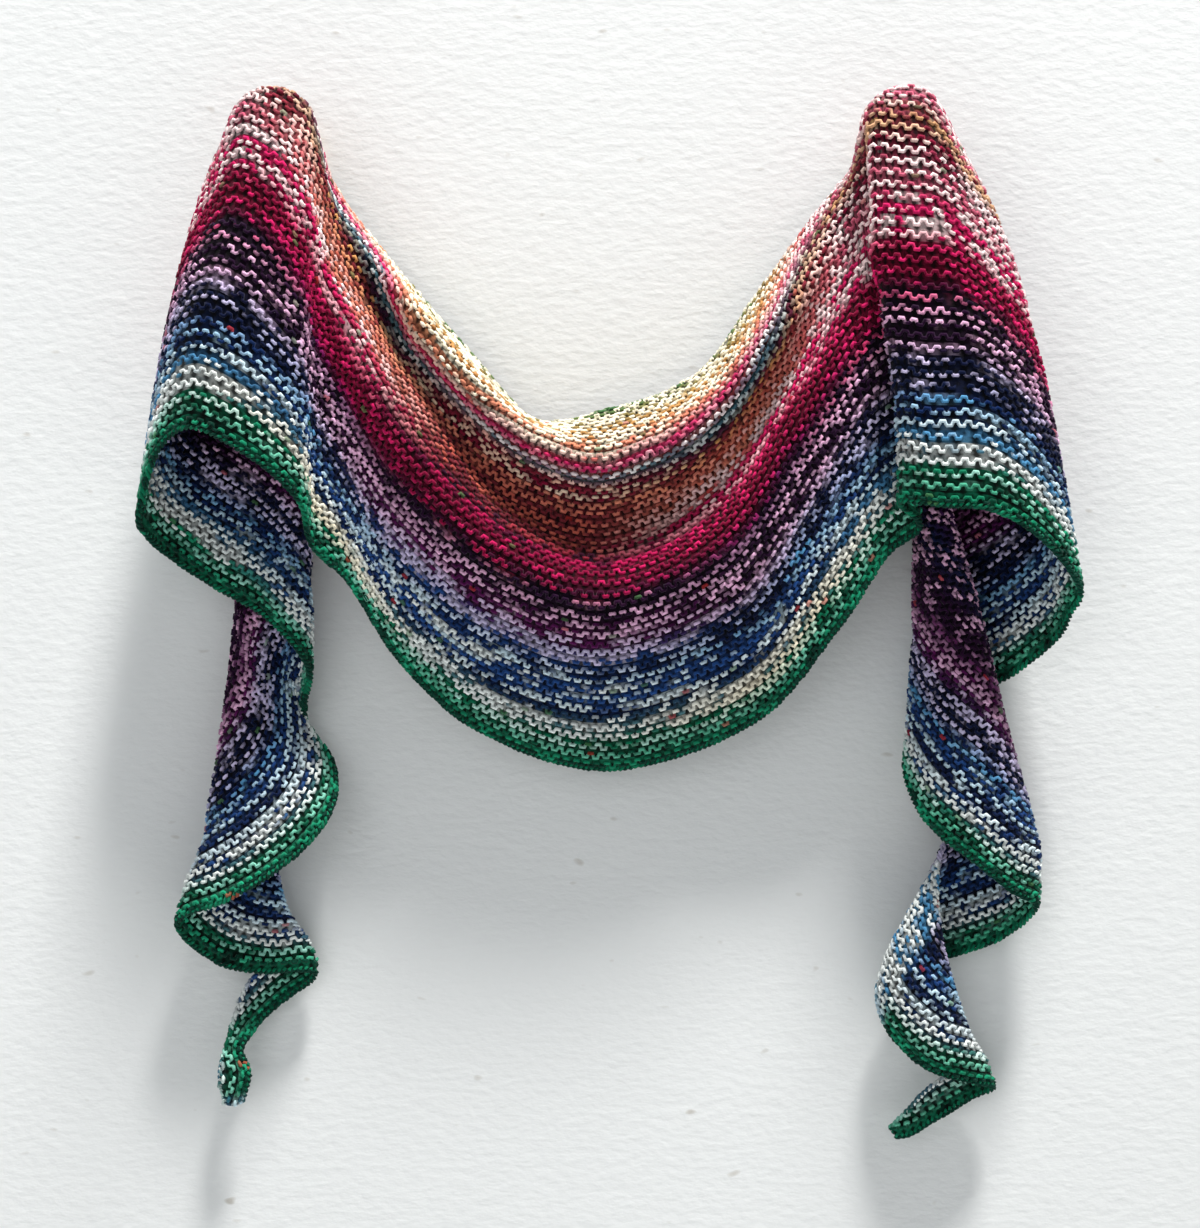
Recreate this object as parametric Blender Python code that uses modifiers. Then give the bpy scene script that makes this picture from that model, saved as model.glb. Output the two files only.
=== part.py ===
"""A hand-knitted crescent shawl, hung over two turned wooden wall pegs.

The cloth is one crescent in garter stitch. It swags between the pegs, falls over each peg in an open
cone, and narrows beyond it into a twisted tail. The frame has +X to the right, +Z up and +Y into the
wall, whose face is the plane y = 0. The origin lies on that plane, halfway between the two pegs.
"""

from typing import NamedTuple
import math

import bmesh
import bpy
from mathutils import Vector

MM = 0.001

# Driving sizes, in millimetres
PEG_SPACING = 305.0
CLOTH_THICKNESS = 2.6
SEAM_GAP = 0.3
KNOB_RADIUS = 18.6
KNOB_MIDDLE = 52.5
KNOB_HALF_LENGTH = 19.5
SHANK_RADIUS = 7.5
ROSE_RADIUS = 20.0
ROSE_THICKNESS = 6.0
ROSE_EDGE = 2.0
KNOB_CLEARANCE = 1.2
NAPE_DIP = 4.0

# The cloth's middle surface where it lies on a knob, and near the wall, where it dips behind the knob
LAP_RADIUS = KNOB_RADIUS + KNOB_CLEARANCE + CLOTH_THICKNESS / 2
NAPE_RADIUS = LAP_RADIUS - NAPE_DIP
NAPE_OUT = 14.0

# How finely the forms are divided
STATIONS = 6
FRAME_STEP = 0.002
PEG_SEGMENTS = 28
KNOB_STEPS = 10
MERGE_DISTANCE = 0.01 * MM

# The plain colours and roughness of the two materials
WOOD_COLOUR = (0.52, 0.36, 0.21)
WOOD_ROUGHNESS = 0.5
WOOL_ROUGHNESS = 0.9


class Across(NamedTuple):
    """One line across the cloth, neck edge to hem. Each place is (across, out from the wall, down)."""

    neck: tuple
    roll: tuple
    hollow: tuple
    ridge: tuple
    skirt: tuple
    hem: tuple


class OverPeg(NamedTuple):
    """A line across the cloth that starts over a peg, at an angle round it and as far out as it lies there."""

    around: float
    over: float
    ridge: tuple
    skirt: tuple
    hem: tuple


class Twist(NamedTuple):
    """A line across a tail, where the cloth turns about its own neck edge."""

    neck: tuple
    bend: tuple
    face: tuple
    hem: tuple


# The swag, from the left peg to the right one
SWAG = (
    Across((-118, 18, 27), (-119, 44, 33), (-122, 57, 47), (-128, 76, 72), (-131, 72, 133), (-132, 64, 192)),
    Across((-91, 18, 61), (-93, 54, 69), (-102, 42, 79), (-112, 72, 98), (-118, 64, 157), (-115, 54, 210)),
    Across((-59, 18, 97), (-64, 58, 106), (-73, 36, 120), (-85, 68, 143), (-93, 54, 197), (-89, 42, 250)),
    Across((-29, 18, 129), (-31, 61, 138), (-38, 38, 163), (-47, 63, 192), (-53, 44, 238), (-51, 28, 283)),
    Across((5, 18, 126), (6, 62, 150), (6, 38, 180), (7, 58, 217), (7, 38, 260), (10, 20, 301)),
    Across((52, 18, 108), (53, 62, 133), (57, 38, 160), (63, 58, 194), (73, 44, 238), (79, 30, 278)),
    Across((84, 18, 66), (86, 61, 92), (92, 42, 116), (96, 63, 143), (107, 52, 192), (118, 44, 234)),
    Across((114, 18, 25), (117, 47, 40), (121, 53, 66), (125, 66, 97), (133, 59, 152), (142, 52, 197)),
)

# The two cones, each from its side next to the swag to its outer fold
LEFT_CONE = (
    OverPeg(0, 64, (-134, 80, 37), (-136, 82, 104), (-136, 73, 173)),
    OverPeg(42, 68, (-143, 83, 38), (-148, 88, 93), (-149, 86, 158)),
    OverPeg(84, 68, (-153, 83, 31), (-163, 88, 83), (-168, 88, 145)),
    OverPeg(122, 64, (-168, 75, 30), (-181, 80, 80), (-188, 80, 137)),
    OverPeg(155, 56, (-180, 62, 30), (-196, 64, 85), (-205, 68, 148)),
    OverPeg(180, 46, (-188, 49, 32), (-204, 50, 98), (-216, 54, 178)),
)
RIGHT_CONE = (
    OverPeg(180, 60, (138, 68, 64), (148, 57, 128), (159, 50, 183)),
    OverPeg(150, 66, (136, 76, 72), (146, 74, 133), (147, 69, 172)),
    OverPeg(108, 68, (152, 83, 38), (157, 84, 102), (167, 82, 174)),
    OverPeg(70, 66, (167, 80, 38), (181, 82, 101), (190, 82, 176)),
    OverPeg(32, 54, (184, 68, 38), (201, 70, 103), (215, 72, 190)),
    OverPeg(0, 46, (197, 50, 42), (216, 52, 106), (235, 54, 212)),
)

# The tails, each from behind its cone's outer fold to its tip
LEFT_TAIL = (
    Twist((-170, 14, 5), (-186, 33, 55), (-203, 37, 122), (-213, 43, 188)),
    Twist((-167, 13, 12), (-184, 18, 70), (-200, 25, 138), (-204, 33, 197)),
    Twist((-162, 13, 19), (-172, 16, 82), (-181, 22, 150), (-184, 28, 211)),
    Twist((-156, 14, 27), (-159, 19, 90), (-161, 25, 160), (-161, 30, 224)),
    Twist((-150, 15, 37), (-147, 23, 100), (-145, 30, 175), (-143, 35, 241)),
    Twist((-146, 14, 50), (-141, 19, 112), (-138, 25, 187), (-137, 28, 254)),
    Twist((-147, 12, 68), (-144, 13, 132), (-142, 15, 205), (-141, 16, 270)),
    Twist((-150, 10, 92), (-158, 13, 160), (-154, 14, 230), (-140, 11, 285)),
    Twist((-150, 7, 122), (-172, 13, 188), (-162, 21, 250), (-128, 15, 297)),
    Twist((-147, 6, 155), (-173, 10, 208), (-163, 27, 270), (-125, 29, 316)),
    Twist((-146, 6, 190), (-175, 12, 236), (-168, 31, 288), (-136, 38, 335)),
    Twist((-146, 6, 228), (-177, 14, 266), (-177, 32, 315), (-155, 40, 351)),
    Twist((-149, 8, 268), (-180, 17, 303), (-187, 31, 338), (-177, 36, 364)),
    Twist((-155, 12, 308), (-178, 18, 333), (-195, 25, 357), (-202, 28, 376)),
    Twist((-156, 18, 340), (-168, 16, 358), (-178, 15, 378), (-185, 16, 396)),
    Twist((-150, 21, 368), (-154, 19, 380), (-158, 18, 391), (-162, 18, 401)),
    Twist((-142, 18, 382), (-143, 18, 388), (-143, 18, 394), (-143, 18, 400)),
    Twist((-139, 13, 389), (-137, 13, 394), (-136, 13, 398), (-136, 13, 402)),
    Twist((-146, 7, 391), (-144, 7, 397), (-142, 7, 403), (-140, 8, 408)),
    Twist((-158, 7, 398), (-155, 7, 403), (-152, 7, 409), (-149, 8, 414)),
    Twist((-169, 9, 408), (-167, 9, 414), (-165, 9, 420), (-162, 10, 425)),
    Twist((-175, 13, 422), (-174, 13, 426), (-172, 14, 430), (-169, 15, 434)),
    Twist((-179, 17, 437), (-177, 17, 438), (-175, 18, 440), (-172, 18, 441)),
    Twist((-182, 20, 451), (-178, 22, 451), (-172, 22, 451), (-168, 20, 451)),
    Twist((-180, 18, 466), (-178, 19, 467), (-175, 19, 467), (-172, 18, 466)),
)
RIGHT_TAIL = (
    Twist((170, 14, 5), (191, 33, 62), (216, 38, 138), (232, 44, 225)),
    Twist((167, 13, 12), (190, 18, 85), (213, 25, 165), (226, 34, 238)),
    Twist((163, 13, 20), (179, 14, 95), (195, 17, 180), (206, 24, 255)),
    Twist((159, 13, 30), (167, 11, 105), (177, 9, 195), (184, 10, 268)),
    Twist((156, 16, 44), (162, 13, 118), (166, 11, 205), (168, 10, 286)),
    Twist((155, 24, 66), (160, 23, 140), (160, 22, 225), (156, 19, 299)),
    Twist((162, 29, 118), (166, 36, 186), (165, 36, 252), (158, 29, 314)),
    Twist((172, 33, 162), (178, 41, 224), (175, 43, 280), (167, 38, 329)),
    Twist((186, 34, 212), (193, 42, 260), (193, 45, 306), (187, 42, 345)),
    Twist((197, 31, 258), (204, 38, 294), (208, 40, 328), (205, 38, 359)),
    Twist((206, 22, 298), (214, 24, 322), (219, 26, 346), (219, 26, 368)),
    Twist((199, 13, 322), (203, 11, 343), (206, 11, 364), (205, 14, 384)),
    Twist((184, 13, 332), (186, 10, 352), (187, 9, 373), (186, 11, 392)),
    Twist((173, 20, 342), (169, 15, 361), (166, 11, 380), (165, 9, 399)),
    Twist((170, 26, 356), (157, 31, 372), (147, 27, 391), (143, 19, 408)),
    Twist((171, 28, 378), (160, 35, 395), (150, 32, 413), (146, 26, 428)),
    Twist((177, 26, 404), (173, 32, 418), (168, 33, 433), (164, 30, 446)),
    Twist((186, 23, 430), (185, 27, 438), (184, 28, 446), (184, 26, 453)),
    Twist((194, 17, 446), (196, 17, 450), (198, 17, 454), (199, 17, 458)),
    Twist((181, 10, 452), (184, 10, 456), (187, 9, 460), (189, 10, 465)),
    Twist((167, 11, 461), (169, 10, 465), (171, 10, 469), (173, 11, 474)),
    Twist((157, 13, 471), (158, 13, 475), (159, 13, 479), (159, 13, 482)),
    Twist((148, 15, 479), (149, 15, 480), (150, 15, 481), (151, 15, 483)),
)


class Stretch(NamedTuple):
    """One stretch of the cloth, a node of its own, between two lines across it."""

    name: str
    first: int
    last: int
    columns: int
    rows: int
    colour: tuple


def smooth_point(points, place):
    """The point at a place, counted in points, on a smooth curve through all of them."""
    last = len(points) - 1
    start = min(max(int(place), 0), last - 1)
    step = place - start
    here = points[start]
    there = points[start + 1]
    before = points[start - 1] if start > 0 else 2 * here - there
    after = points[start + 2] if start + 2 <= last else 2 * there - here
    return 0.5 * (
        2 * here
        + (there - before) * step
        + (2 * before - 5 * here + 4 * there - after) * step**2
        + (3 * here - before - 3 * there + after) * step**3
    )


def as_point(place):
    """A place given as across, out and down becomes a point in millimetres."""
    across, out, down = place
    return Vector((across, -out, -down))


def whole_line(line):
    """The stations of a line of the swag, as points."""
    return [as_point(place) for place in line]


def over_peg_line(line, peg_x):
    """The stations of a line that lies over the peg at peg_x before it falls."""
    turn = math.radians(line.around)
    stations = []
    for radius, out in (
        (NAPE_RADIUS, NAPE_OUT),
        (LAP_RADIUS, (NAPE_OUT + line.over) / 2),
        (LAP_RADIUS, line.over),
    ):
        stations.append(Vector((peg_x + radius * math.cos(turn), -out, radius * math.sin(turn))))
    return stations + [as_point(place) for place in (line.ridge, line.skirt, line.hem)]


def twist_line(line):
    """The stations of a line across a tail, spread evenly along its smooth curve."""
    places = [as_point(place) for place in line]
    spread = (len(places) - 1) / (STATIONS - 1)
    return [smooth_point(places, station * spread) for station in range(STATIONS)]


def shawl_lines():
    """Every line across the shawl, from the left tip to the right one."""
    left_peg = -PEG_SPACING / 2
    right_peg = PEG_SPACING / 2
    lines = [twist_line(line) for line in reversed(LEFT_TAIL)]
    lines += [over_peg_line(line, left_peg) for line in reversed(LEFT_CONE)]
    lines += [whole_line(line) for line in SWAG]
    lines += [over_peg_line(line, right_peg) for line in RIGHT_CONE]
    lines += [twist_line(line) for line in RIGHT_TAIL]
    return lines


# How many of a tail's lines belong to its cone, and how many to its broad part
LEFT_CONE_SHARE = 7
RIGHT_CONE_SHARE = 3
TAIL_LINES = 7

LINES = shawl_lines()
LEFT_SHOULDER = len(LEFT_TAIL) + len(LEFT_CONE) - 1
RIGHT_SHOULDER = LEFT_SHOULDER + len(SWAG) + 1
LEFT_TAIL_TOP = len(LEFT_TAIL) - LEFT_CONE_SHARE
RIGHT_TAIL_TOP = RIGHT_SHOULDER + len(RIGHT_CONE) + RIGHT_CONE_SHARE
LEFT_CURL_TOP = LEFT_TAIL_TOP - TAIL_LINES
RIGHT_CURL_TOP = RIGHT_TAIL_TOP + TAIL_LINES

STRETCHES = (
    Stretch("left_tail_curl", 0, LEFT_CURL_TOP, 33, 9, (0.10, 0.42, 0.30)),
    Stretch("left_tail", LEFT_CURL_TOP, LEFT_TAIL_TOP, 21, 18, (0.24, 0.22, 0.42)),
    Stretch("left_cone", LEFT_TAIL_TOP, LEFT_SHOULDER, 28, 18, (0.55, 0.20, 0.36)),
    Stretch("swag", LEFT_SHOULDER, RIGHT_SHOULDER, 32, 18, (0.62, 0.30, 0.30)),
    Stretch("right_cone", RIGHT_SHOULDER, RIGHT_TAIL_TOP, 28, 18, (0.60, 0.28, 0.38)),
    Stretch("right_tail", RIGHT_TAIL_TOP, RIGHT_CURL_TOP, 21, 18, (0.24, 0.20, 0.40)),
    Stretch("right_tail_curl", RIGHT_CURL_TOP, len(LINES) - 1, 36, 9, (0.10, 0.42, 0.32)),
)


def cloth_point(along, across):
    """A point of the cloth's middle surface: along counts lines, across runs 0 at the neck to 1 at the hem."""
    stations = [smooth_point([line[station] for line in LINES], along) for station in range(STATIONS)]
    return smooth_point(stations, across * (STATIONS - 1))


def cloth_frame(along, across):
    """The middle surface's point, its unit normal and the unit direction along it, square to the line."""
    ahead = cloth_point(min(along + FRAME_STEP, len(LINES) - 1), across)
    behind = cloth_point(max(along - FRAME_STEP, 0), across)
    lower = cloth_point(along, min(across + FRAME_STEP, 1))
    upper = cloth_point(along, max(across - FRAME_STEP, 0))
    normal = (ahead - behind).cross(lower - upper).normalized()
    direction = (lower - upper).cross(normal).normalized()
    return cloth_point(along, across), normal, direction


def cloth_ring(along, rows, shift):
    """The closed outline of the wall on one line: its face from neck to hem, then its back again."""
    face = []
    back = []
    for row in range(rows + 1):
        point, normal, direction = cloth_frame(along, row / rows)
        point = point + direction * shift
        face.append(point + normal * CLOTH_THICKNESS / 2)
        back.append(point - normal * CLOTH_THICKNESS / 2)
    return face + back[::-1]


def add_object(name, mesh, collection, colour, roughness):
    """Adds a mesh as a named object with a plain material of its own."""
    material = bpy.data.materials.new(name)
    material.use_nodes = True
    surface = material.node_tree.nodes["Principled BSDF"]
    surface.inputs["Base Color"].default_value = (*colour, 1)
    surface.inputs["Roughness"].default_value = roughness
    surface.inputs["Metallic"].default_value = 0.0
    mesh.materials.append(material)
    thing = bpy.data.objects.new(name, mesh)
    collection.objects.link(thing)
    return thing


def make_stretch(stretch, collection):
    """Lofts one stretch of the cloth through its rings and closes both ends."""
    rings = []
    for column in range(stretch.columns + 1):
        along = stretch.first + (stretch.last - stretch.first) * column / stretch.columns
        shift = 0.0
        if column == 0 and stretch.first > 0:
            shift = SEAM_GAP / 2
        if column == stretch.columns and stretch.last < len(LINES) - 1:
            shift = -SEAM_GAP / 2
        rings.append(cloth_ring(along, stretch.rows, shift))
    shape = bmesh.new()
    loops = [[shape.verts.new(point * MM) for point in ring] for ring in rings]
    count = len(loops[0])
    for near, far in zip(loops, loops[1:]):
        for corner in range(count):
            following = (corner + 1) % count
            shape.faces.new((near[corner], far[corner], far[following], near[following]))
    for row in range(stretch.rows):
        opposite = count - 1 - row
        corners = (row, row + 1, opposite - 1, opposite)
        shape.faces.new([loops[0][corner] for corner in corners])
        shape.faces.new([loops[-1][corner] for corner in reversed(corners)])
    mesh = bpy.data.meshes.new(stretch.name)
    shape.to_mesh(mesh)
    shape.free()
    mesh.shade_smooth()
    add_object(stretch.name, mesh, collection, stretch.colour, WOOL_ROUGHNESS)


def peg_profile():
    """The peg's outline as (distance out from the wall, radius), from the wall to the knob's front."""
    profile = [(0.0, 0.0), (0.0, ROSE_RADIUS), (ROSE_THICKNESS - ROSE_EDGE, ROSE_RADIUS)]
    profile.append((ROSE_THICKNESS, ROSE_RADIUS - ROSE_EDGE))
    profile.append((ROSE_THICKNESS, SHANK_RADIUS))
    start = math.pi - math.asin(SHANK_RADIUS / KNOB_RADIUS)
    for step in range(KNOB_STEPS + 1):
        turn = start * (1 - step / KNOB_STEPS)
        out = KNOB_MIDDLE + KNOB_HALF_LENGTH * math.cos(turn)
        profile.append((out, KNOB_RADIUS * math.sin(turn)))
    return profile


def make_peg(name, peg_x, collection):
    """A turned peg: a round plate on the wall, a shank and a rounded knob."""
    shape = bmesh.new()
    verts = [shape.verts.new((radius * MM, 0.0, -out * MM)) for out, radius in peg_profile()]
    for near, far in zip(verts, verts[1:]):
        shape.edges.new((near, far))
    mesh = bpy.data.meshes.new(name)
    shape.to_mesh(mesh)
    shape.free()
    peg = add_object(name, mesh, collection, WOOD_COLOUR, WOOD_ROUGHNESS)
    peg.location = (peg_x * MM, 0.0, 0.0)
    peg.rotation_euler = (-math.pi / 2, 0.0, 0.0)
    screw = peg.modifiers.new("turned", "SCREW")
    screw.axis = "Z"
    screw.steps = PEG_SEGMENTS
    screw.render_steps = PEG_SEGMENTS
    screw.use_merge_vertices = True
    screw.merge_threshold = MERGE_DISTANCE
    screw.use_smooth_shade = True


def main():
    """Clears the scene and builds the shawl and its two pegs."""
    for thing in list(bpy.data.objects):
        bpy.data.objects.remove(thing, do_unlink=True)
    collection = bpy.data.collections.new("shawl_on_two_pegs")
    bpy.context.scene.collection.children.link(collection)
    for stretch in STRETCHES:
        make_stretch(stretch, collection)
    make_peg("left_peg", -PEG_SPACING / 2, collection)
    make_peg("right_peg", PEG_SPACING / 2, collection)


main()
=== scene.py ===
"""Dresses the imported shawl: its knitted cloth, every stitch, the two turned pegs, the wall and the light."""

import logging
import math
from dataclasses import dataclass, field, fields
from enum import Enum
from typing import Any, NamedTuple

import bpy
import numpy as np
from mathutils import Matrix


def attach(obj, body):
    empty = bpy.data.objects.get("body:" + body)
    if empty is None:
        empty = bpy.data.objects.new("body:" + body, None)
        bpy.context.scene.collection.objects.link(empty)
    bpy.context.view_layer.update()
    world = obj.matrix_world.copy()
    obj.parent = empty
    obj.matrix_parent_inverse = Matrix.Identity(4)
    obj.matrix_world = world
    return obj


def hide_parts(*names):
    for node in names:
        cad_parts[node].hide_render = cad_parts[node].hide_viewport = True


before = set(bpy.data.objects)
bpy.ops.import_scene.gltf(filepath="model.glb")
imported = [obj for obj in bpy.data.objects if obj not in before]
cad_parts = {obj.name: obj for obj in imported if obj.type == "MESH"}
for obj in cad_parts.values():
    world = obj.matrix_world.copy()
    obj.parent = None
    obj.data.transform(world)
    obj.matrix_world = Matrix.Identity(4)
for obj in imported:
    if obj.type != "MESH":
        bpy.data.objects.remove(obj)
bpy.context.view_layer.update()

LOG = logging.getLogger("shawl")
MM = 0.001
RIDGE_HEIGHT = 5.1
LEAST_LENGTH = 1e-9
Place = tuple[float, float, float]


class Across(NamedTuple):
    """One line across the cloth, neck edge to hem. Each place is (across, out from the wall, down), in mm."""

    neck: Place
    roll: Place
    hollow: Place
    ridge: Place
    skirt: Place
    hem: Place


class OverPeg(NamedTuple):
    """A line that starts over a peg, at an angle round it and as far out as it lies there."""

    around: float
    over: float
    ridge: Place
    skirt: Place
    hem: Place


class Twist(NamedTuple):
    """A line across a tail, where the cloth turns about its own neck edge."""

    neck: Place
    bend: Place
    face: Place
    hem: Place


# The swag, from the left peg to the right one
SWAG = (
    Across((-118, 18, 27), (-119, 44, 33), (-122, 57, 47), (-128, 76, 72), (-131, 72, 133), (-132, 64, 192)),
    Across((-91, 18, 61), (-93, 54, 69), (-102, 42, 79), (-112, 72, 98), (-118, 64, 157), (-115, 54, 210)),
    Across((-59, 18, 97), (-64, 58, 106), (-73, 36, 120), (-85, 68, 143), (-93, 54, 197), (-89, 42, 250)),
    Across((-29, 18, 129), (-31, 61, 138), (-38, 38, 163), (-47, 63, 192), (-53, 44, 238), (-51, 28, 283)),
    Across((5, 18, 126), (6, 62, 150), (6, 38, 180), (7, 58, 217), (7, 38, 260), (10, 20, 301)),
    Across((52, 18, 108), (53, 62, 133), (57, 38, 160), (63, 58, 194), (73, 44, 238), (79, 30, 278)),
    Across((84, 18, 66), (86, 61, 92), (92, 42, 116), (96, 63, 143), (107, 52, 192), (118, 44, 234)),
    Across((114, 18, 25), (117, 47, 40), (121, 53, 66), (125, 66, 97), (133, 59, 152), (142, 52, 197)),
)

# The two cones, each from its side next to the swag to its outer fold
LEFT_CONE = (
    OverPeg(0, 64, (-134, 80, 37), (-136, 82, 104), (-136, 73, 173)),
    OverPeg(42, 68, (-143, 83, 38), (-148, 88, 93), (-149, 86, 158)),
    OverPeg(84, 68, (-153, 83, 31), (-163, 88, 83), (-168, 88, 145)),
    OverPeg(122, 64, (-168, 75, 30), (-181, 80, 80), (-188, 80, 137)),
    OverPeg(155, 56, (-180, 62, 30), (-196, 64, 85), (-205, 68, 148)),
    OverPeg(180, 46, (-188, 49, 32), (-204, 50, 98), (-216, 54, 178)),
)
RIGHT_CONE = (
    OverPeg(180, 60, (138, 68, 64), (148, 57, 128), (159, 50, 183)),
    OverPeg(150, 66, (136, 76, 72), (146, 74, 133), (147, 69, 172)),
    OverPeg(108, 68, (152, 83, 38), (157, 84, 102), (167, 82, 174)),
    OverPeg(70, 66, (167, 80, 38), (181, 82, 101), (190, 82, 176)),
    OverPeg(32, 54, (184, 68, 38), (201, 70, 103), (215, 72, 190)),
    OverPeg(0, 46, (197, 50, 42), (216, 52, 106), (235, 54, 212)),
)

# The tails, each from behind its cone's outer fold to its tip
LEFT_TAIL = (
    Twist((-170, 14, 5), (-186, 33, 55), (-203, 37, 122), (-213, 43, 188)),
    Twist((-167, 13, 12), (-184, 18, 70), (-200, 25, 138), (-204, 33, 197)),
    Twist((-162, 13, 19), (-172, 16, 82), (-181, 22, 150), (-184, 28, 211)),
    Twist((-156, 14, 27), (-159, 19, 90), (-161, 25, 160), (-161, 30, 224)),
    Twist((-150, 15, 37), (-147, 23, 100), (-145, 30, 175), (-143, 35, 241)),
    Twist((-146, 14, 50), (-141, 19, 112), (-138, 25, 187), (-137, 28, 254)),
    Twist((-147, 12, 68), (-144, 13, 132), (-142, 15, 205), (-141, 16, 270)),
    Twist((-150, 10, 92), (-158, 13, 160), (-154, 14, 230), (-140, 11, 285)),
    Twist((-150, 7, 122), (-172, 13, 188), (-162, 21, 250), (-128, 15, 297)),
    Twist((-147, 6, 155), (-173, 10, 208), (-163, 27, 270), (-125, 29, 316)),
    Twist((-146, 6, 190), (-175, 12, 236), (-168, 31, 288), (-136, 38, 335)),
    Twist((-146, 6, 228), (-177, 14, 266), (-177, 32, 315), (-155, 40, 351)),
    Twist((-149, 8, 268), (-180, 17, 303), (-187, 31, 338), (-177, 36, 364)),
    Twist((-155, 12, 308), (-178, 18, 333), (-195, 25, 357), (-202, 28, 376)),
    Twist((-156, 18, 340), (-168, 16, 358), (-178, 15, 378), (-185, 16, 396)),
    Twist((-150, 21, 368), (-154, 19, 380), (-158, 18, 391), (-162, 18, 401)),
    Twist((-142, 18, 382), (-143, 18, 388), (-143, 18, 394), (-143, 18, 400)),
    Twist((-139, 13, 389), (-137, 13, 394), (-136, 13, 398), (-136, 13, 402)),
    Twist((-146, 7, 391), (-144, 7, 397), (-142, 7, 403), (-140, 8, 408)),
    Twist((-158, 7, 398), (-155, 7, 403), (-152, 7, 409), (-149, 8, 414)),
    Twist((-169, 9, 408), (-167, 9, 414), (-165, 9, 420), (-162, 10, 425)),
    Twist((-175, 13, 422), (-174, 13, 426), (-172, 14, 430), (-169, 15, 434)),
    Twist((-179, 17, 437), (-177, 17, 438), (-175, 18, 440), (-172, 18, 441)),
    Twist((-182, 20, 451), (-178, 22, 451), (-172, 22, 451), (-168, 20, 451)),
    Twist((-180, 18, 466), (-178, 19, 467), (-175, 19, 467), (-172, 18, 466)),
)
RIGHT_TAIL = (
    Twist((170, 14, 5), (191, 33, 62), (216, 38, 138), (232, 44, 225)),
    Twist((167, 13, 12), (190, 18, 85), (213, 25, 165), (226, 34, 238)),
    Twist((163, 13, 20), (179, 14, 95), (195, 17, 180), (206, 24, 255)),
    Twist((159, 13, 30), (167, 11, 105), (177, 9, 195), (184, 10, 268)),
    Twist((156, 16, 44), (162, 13, 118), (166, 11, 205), (168, 10, 286)),
    Twist((155, 24, 66), (160, 23, 140), (160, 22, 225), (156, 19, 299)),
    Twist((162, 29, 118), (166, 36, 186), (165, 36, 252), (158, 29, 314)),
    Twist((172, 33, 162), (178, 41, 224), (175, 43, 280), (167, 38, 329)),
    Twist((186, 34, 212), (193, 42, 260), (193, 45, 306), (187, 42, 345)),
    Twist((197, 31, 258), (204, 38, 294), (208, 40, 328), (205, 38, 359)),
    Twist((206, 22, 298), (214, 24, 322), (219, 26, 346), (219, 26, 368)),
    Twist((199, 13, 322), (203, 11, 343), (206, 11, 364), (205, 14, 384)),
    Twist((184, 13, 332), (186, 10, 352), (187, 9, 373), (186, 11, 392)),
    Twist((173, 20, 342), (169, 15, 361), (166, 11, 380), (165, 9, 399)),
    Twist((170, 26, 356), (157, 31, 372), (147, 27, 391), (143, 19, 408)),
    Twist((171, 28, 378), (160, 35, 395), (150, 32, 413), (146, 26, 428)),
    Twist((177, 26, 404), (173, 32, 418), (168, 33, 433), (164, 30, 446)),
    Twist((186, 23, 430), (185, 27, 438), (184, 28, 446), (184, 26, 453)),
    Twist((194, 17, 446), (196, 17, 450), (198, 17, 454), (199, 17, 458)),
    Twist((181, 10, 452), (184, 10, 456), (187, 9, 460), (189, 10, 465)),
    Twist((167, 11, 461), (169, 10, 465), (171, 10, 469), (173, 11, 474)),
    Twist((157, 13, 471), (158, 13, 475), (159, 13, 479), (159, 13, 482)),
    Twist((148, 15, 479), (149, 15, 480), (150, 15, 481), (151, 15, 483)),
)


class Crease(NamedTuple):
    """A soft ridge or hollow in the cloth, between two places given as (run, depth) in mm.

    Run is the way along the shawl from the swag's middle, to the right. Depth is the way in from the hem.
    """

    start: tuple[float, float]
    end: tuple[float, float]
    width: float
    height: float


# The creases, raised towards the room or sunk away from it. The first ones show in the photograph, and the
# last ones lie in the tails, where less of them shows.
CREASES = (
    Crease((-219, 137), (-116, 112), 9.0, 2.4),
    Crease((-116, 112), (-27, 96), 8.0, 1.8),
    Crease((-20, 94), (58, 91), 10.0, 1.1),
    Crease((62, 91), (152, 101), 8.0, 1.9),
    Crease((152, 101), (253, 120), 9.5, 2.3),
    Crease((-200, 187), (-123, 154), 10.0, -2.0),
    Crease((-150, 92), (-64, 82), 7.0, -1.5),
    Crease((112, 144), (224, 142), 10.0, -1.9),
    Crease((-261, 23), (-262, 112), 10.0, 1.5),
    Crease((-225, 41), (-246, 112), 9.0, -2.0),
    Crease((258, 51), (264, 103), 8.0, -2.2),
    Crease((300, 49), (297, 99), 9.0, -1.4),
    Crease((-74, 36), (22, 27), 12.0, 1.0),
    Crease((30, 62), (104, 38), 9.0, -1.2),
    Crease((-18, 152), (64, 160), 10.0, -1.0),
    Crease((-372, 118), (-446, 96), 9.0, -1.7),
    Crease((-404, 34), (-520, 58), 8.0, 1.4),
    Crease((-588, 44), (-690, 31), 7.0, -1.2),
    Crease((352, 124), (431, 88), 10.0, -1.6),
    Crease((378, 41), (468, 62), 8.5, 1.5),
    Crease((506, 71), (607, 42), 8.0, -1.3),
    Crease((640, 22), (742, 29), 6.0, 0.9),
)


class Side(Enum):
    """The two sides of the cloth, as the way from its middle surface."""

    FACE = -1.0
    REVERSE = 1.0


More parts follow.
